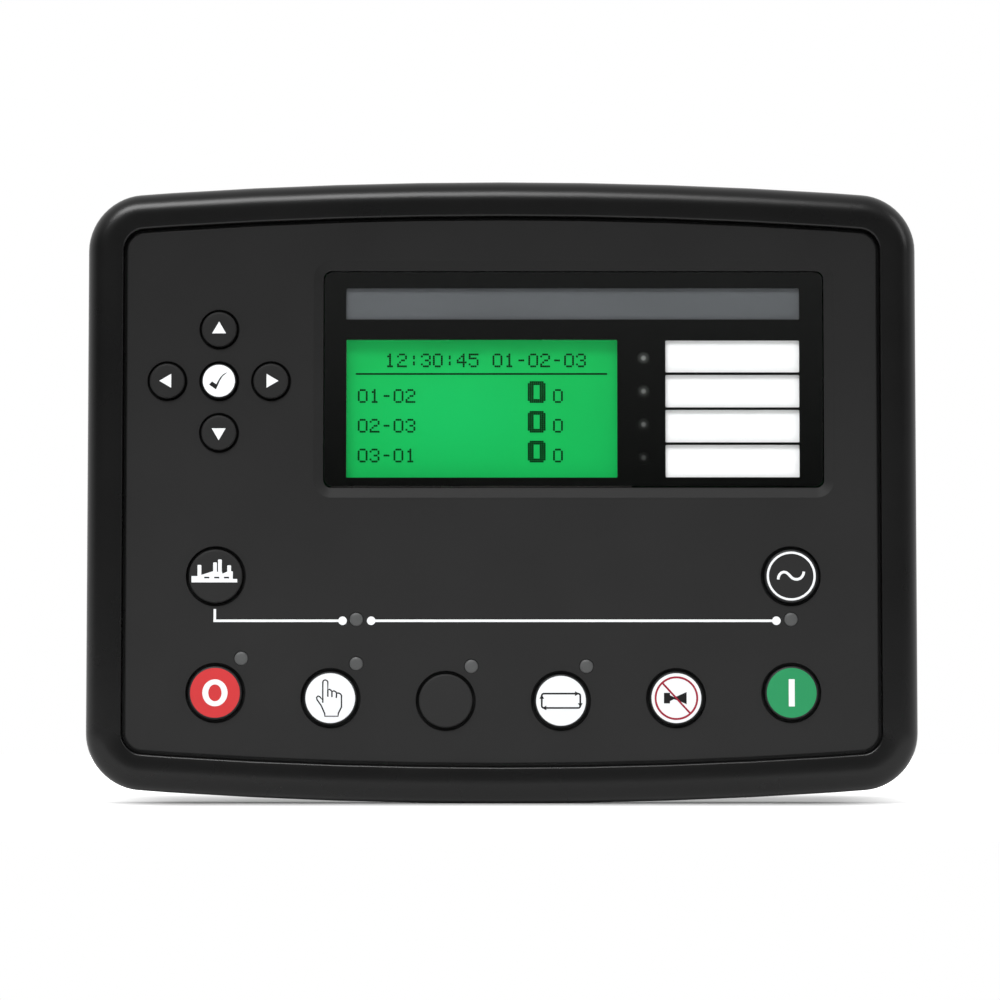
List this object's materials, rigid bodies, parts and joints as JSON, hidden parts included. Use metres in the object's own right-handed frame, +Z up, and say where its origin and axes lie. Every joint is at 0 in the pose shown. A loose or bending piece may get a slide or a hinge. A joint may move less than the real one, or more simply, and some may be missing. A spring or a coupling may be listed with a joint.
{
  "type": "genset controller",
  "caption": "Panel-mounted generator-set controller with a bowed rolled-rim bezel, backlit display, sprung push keys and plug-in terminals on its rear housing.",
  "frame": {"origin": "middle of the panel cut-out, in the plane of the panel's front face, where the gasket seats", "axes": "+X across the front to the right as seen by the user, +Y back into the panel, +Z up"},
  "size_m": [0.245, 0.051, 0.184],
  "materials": {
    "black_moulding": "satin black moulding",
    "fascia_grey": "matt dark grey print",
    "lens": "glossy black with clear windows",
    "card_white": "white card",
    "card_grey": "grey card",
    "steel": "plated steel",
    "lcd_green": "green backlit display",
    "clear_white": "milky clear",
    "key_black": "satin black",
    "key_red": "red print on a black cap",
    "key_white": "white print on a black cap",
    "key_green": "green print on a black cap",
    "light_pipe": "smoky light pipe",
    "rubber_grey": "soft grey rubber",
    "board_green": "solder mask",
    "connector_black": "black moulding",
    "relay_blue": "blue relay shell",
    "capacitor_black": "shrink sleeve",
    "plug_green": "green terminal block"
  },
  "bodies": {
    "controller": {"front_bezel": "black_moulding", "front_fascia": "fascia_grey", "display_window": "lens", "label_card": "card_white", "band_card": "card_grey", "lcd_frame": "steel", "lcd_glass": "lcd_green", "lcd_backlight": "clear_white", "indicator_stop": "light_pipe", "indicator_manual": "light_pipe", "indicator_test": "light_pipe", "indicator_auto": "light_pipe", "indicator_load": "light_pipe", "indicator_generator": "light_pipe", "alarm_led_1": "clear_white", "alarm_led_2": "clear_white", "alarm_led_3": "clear_white", "alarm_led_4": "clear_white", "keymat": "rubber_grey", "display_board": "board_green", "board_connector": "connector_black", "main_board": "board_green", "relay_1": "relay_blue", "relay_2": "relay_blue", "relay_3": "relay_blue", "relay_4": "relay_blue", "capacitor_1": "capacitor_black", "capacitor_2": "capacitor_black", "rear_housing": "black_moulding", "panel_gasket": "rubber_grey", "case_screw_1": "steel", "case_screw_2": "steel", "case_screw_3": "steel", "case_screw_4": "steel", "usb_socket": "steel", "serial_socket": "steel", "ethernet_socket": "steel", "plug_dc_supply": "plug_green", "plug_sender_inputs": "plug_green", "plug_data_bus": "plug_green", "plug_digital_inputs": "plug_green", "plug_relay_outputs": "plug_green", "plug_current": "plug_green", "plug_generator_volts": "plug_green", "plug_bus_volts": "plug_green"},
    "up_button": {"key_up": "key_black"},
    "down_button": {"key_down": "key_black"},
    "left_button": {"key_left": "key_black"},
    "right_button": {"key_right": "key_black"},
    "select_button": {"key_select": "key_black"},
    "load_button": {"key_load": "key_black"},
    "generator_button": {"key_generator": "key_black"},
    "stop_button": {"key_stop": "key_red"},
    "manual_button": {"key_manual": "key_white"},
    "test_button": {"key_test": "key_black"},
    "auto_button": {"key_auto": "key_white"},
    "mute_button": {"key_mute": "key_white"},
    "start_button": {"key_start": "key_green"}
  },
  "joints": [
    {"name": "press_up", "type": "slide", "parent": "controller", "child": "up_button", "axis": [0, 1, 0], "range_m": [0, 0.001], "stiffness_N_per_m": 1500},
    {"name": "press_down", "type": "slide", "parent": "controller", "child": "down_button", "axis": [0, 1, 0], "range_m": [0, 0.001], "stiffness_N_per_m": 1500},
    {"name": "press_left", "type": "slide", "parent": "controller", "child": "left_button", "axis": [0, 1, 0], "range_m": [0, 0.001], "stiffness_N_per_m": 1500},
    {"name": "press_right", "type": "slide", "parent": "controller", "child": "right_button", "axis": [0, 1, 0], "range_m": [0, 0.001], "stiffness_N_per_m": 1500},
    {"name": "press_select", "type": "slide", "parent": "controller", "child": "select_button", "axis": [0, 1, 0], "range_m": [0, 0.001], "stiffness_N_per_m": 1500},
    {"name": "press_load", "type": "slide", "parent": "controller", "child": "load_button", "axis": [0, 1, 0], "range_m": [0, 0.001], "stiffness_N_per_m": 2000},
    {"name": "press_generator", "type": "slide", "parent": "controller", "child": "generator_button", "axis": [0, 1, 0], "range_m": [0, 0.001], "stiffness_N_per_m": 2000},
    {"name": "press_stop", "type": "slide", "parent": "controller", "child": "stop_button", "axis": [0, 1, 0], "range_m": [0, 0.001], "stiffness_N_per_m": 2000},
    {"name": "press_manual", "type": "slide", "parent": "controller", "child": "manual_button", "axis": [0, 1, 0], "range_m": [0, 0.001], "stiffness_N_per_m": 2000},
    {"name": "press_test", "type": "slide", "parent": "controller", "child": "test_button", "axis": [0, 1, 0], "range_m": [0, 0.001], "stiffness_N_per_m": 2000},
    {"name": "press_auto", "type": "slide", "parent": "controller", "child": "auto_button", "axis": [0, 1, 0], "range_m": [0, 0.001], "stiffness_N_per_m": 2000},
    {"name": "press_mute", "type": "slide", "parent": "controller", "child": "mute_button", "axis": [0, 1, 0], "range_m": [0, 0.001], "stiffness_N_per_m": 2000},
    {"name": "press_start", "type": "slide", "parent": "controller", "child": "start_button", "axis": [0, 1, 0], "range_m": [0, 0.001], "stiffness_N_per_m": 2000}
  ]
}
